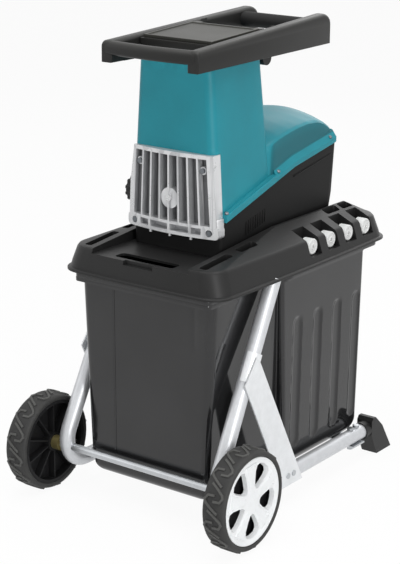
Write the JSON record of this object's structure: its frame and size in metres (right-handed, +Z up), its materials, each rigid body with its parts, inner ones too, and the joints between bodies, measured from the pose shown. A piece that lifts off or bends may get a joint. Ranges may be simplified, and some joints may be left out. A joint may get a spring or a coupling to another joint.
{
  "type": "garden shredder",
  "caption": "Electric garden shredder with a teal hopper and motor cover on a black deck, over a sliding collecting box in a wheeled grey tube frame.",
  "frame": {"origin": "middle of the box round the part, at the floor", "axes": "+Z up, -Y to the front with the wheels and the finned casting, +X to the right of a viewer in front"},
  "size_m": [0.554, 0.729, 0.9704],
  "materials": {
    "teal_shell": "satin",
    "black_shell": "satin",
    "box_shell": "gloss",
    "tyre_rubber": "matte",
    "pale_moulding": "satin",
    "frame_paint": "satin",
    "bare_steel": "brushed",
    "cast_aluminium": "cast",
    "motor_steel": "satin",
    "start_green": "satin",
    "stop_red": "satin"
  },
  "bodies": {
    "root": {"axle": "bare_steel", "axle_bushes": "bare_steel", "axle_clips": "bare_steel", "left_side_tube": "frame_paint", "right_side_tube": "frame_paint", "left_brace": "frame_paint", "right_brace": "frame_paint", "brace_rivets": "bare_steel", "left_foot": "black_shell", "right_foot": "black_shell", "front_cross_strap": "frame_paint", "rear_cross_strap": "frame_paint", "strap_bolts": "bare_steel", "deck": "black_shell", "shoulder_discs": "pale_moulding", "lower_housing": "black_shell", "hopper": "teal_shell", "motor_cover": "teal_shell", "cover_screws": "bare_steel", "front_casting": "cast_aluminium", "casting_screws": "bare_steel", "bearing_cap": "cast_aluminium", "top_frame": "black_shell", "rear_handle": "black_shell", "lid_hinge_pin": "bare_steel", "roller_bearings": "bare_steel", "motor_case": "motor_steel", "gear_plate": "bare_steel", "switch_plate": "black_shell", "power_inlet": "black_shell"},
    "left_wheel": {"left_tyre": "tyre_rubber", "left_wheel_core": "black_shell", "left_hub_cap": "pale_moulding"},
    "right_wheel": {"right_tyre": "tyre_rubber", "right_wheel_core": "black_shell", "right_hub_cap": "pale_moulding"},
    "box": {"collecting_box": "box_shell"},
    "lid": {"hopper_lid": "black_shell"},
    "roller": {"cutting_roller": "motor_steel", "roller_gear": "motor_steel"},
    "rotor": {"motor_rotor": "motor_steel"},
    "plate": {"counter_plate": "motor_steel"},
    "knob": {"adjusting_knob": "black_shell"},
    "start": {"start_button": "start_green"},
    "stop": {"stop_button": "stop_red"},
    "selector": {"direction_selector": "black_shell"}
  },
  "joints": [
    {"name": "left_wheel_spin", "type": "hinge", "parent": "root", "child": "left_wheel", "pos_m": [-0.251, -0.262, 0.103], "axis": [1, 0, 0], "continuous": true},
    {"name": "right_wheel_spin", "type": "hinge", "parent": "root", "child": "right_wheel", "pos_m": [0.251, -0.262, 0.103], "axis": [1, 0, 0], "continuous": true},
    {"name": "box_slide", "type": "slide", "parent": "root", "child": "box", "axis": [0, 1, 0], "range_m": [0, 0.42]},
    {"name": "lid_hinge", "type": "hinge", "parent": "root", "child": "lid", "pos_m": [0, 0.022, 0.95298], "axis": [-1, 0, 0], "range_deg": [0, 100]},
    {"name": "roller_spin", "type": "hinge", "parent": "root", "child": "roller", "pos_m": [0, -0.066, 0.642], "axis": [0, 1, 0], "continuous": true},
    {"name": "rotor_spin", "type": "hinge", "parent": "root", "child": "rotor", "pos_m": [0, 0.11, 0.702], "axis": [0, 1, 0], "continuous": true},
    {"name": "plate_feed", "type": "slide", "parent": "root", "child": "plate", "axis": [1, 0, 0], "range_m": [0, 0.006]},
    {"name": "knob_turn", "type": "hinge", "parent": "root", "child": "knob", "pos_m": [-0.129, -0.11, 0.6315], "axis": [1, 0, 0], "range_deg": [0, 720]},
    {"name": "start_press", "type": "slide", "parent": "root", "child": "start", "axis": [0, -1, 0], "range_m": [0, 0.004], "stiffness_N_per_m": 250},
    {"name": "stop_press", "type": "slide", "parent": "root", "child": "stop", "axis": [0, -1, 0], "range_m": [0, 0.004], "stiffness_N_per_m": 250},
    {"name": "selector_turn", "type": "hinge", "parent": "root", "child": "selector", "pos_m": [0.036, 0.257, 0.636], "axis": [0, 1, 0], "range_deg": [-45, 45]}
  ],
  "couplings": [
    {"joint": "rotor_spin", "follows": "roller_spin", "ratio": -4},
    {"joint": "knob_turn", "follows": "plate_feed", "rad_per_m": 2094.3}
  ]
}
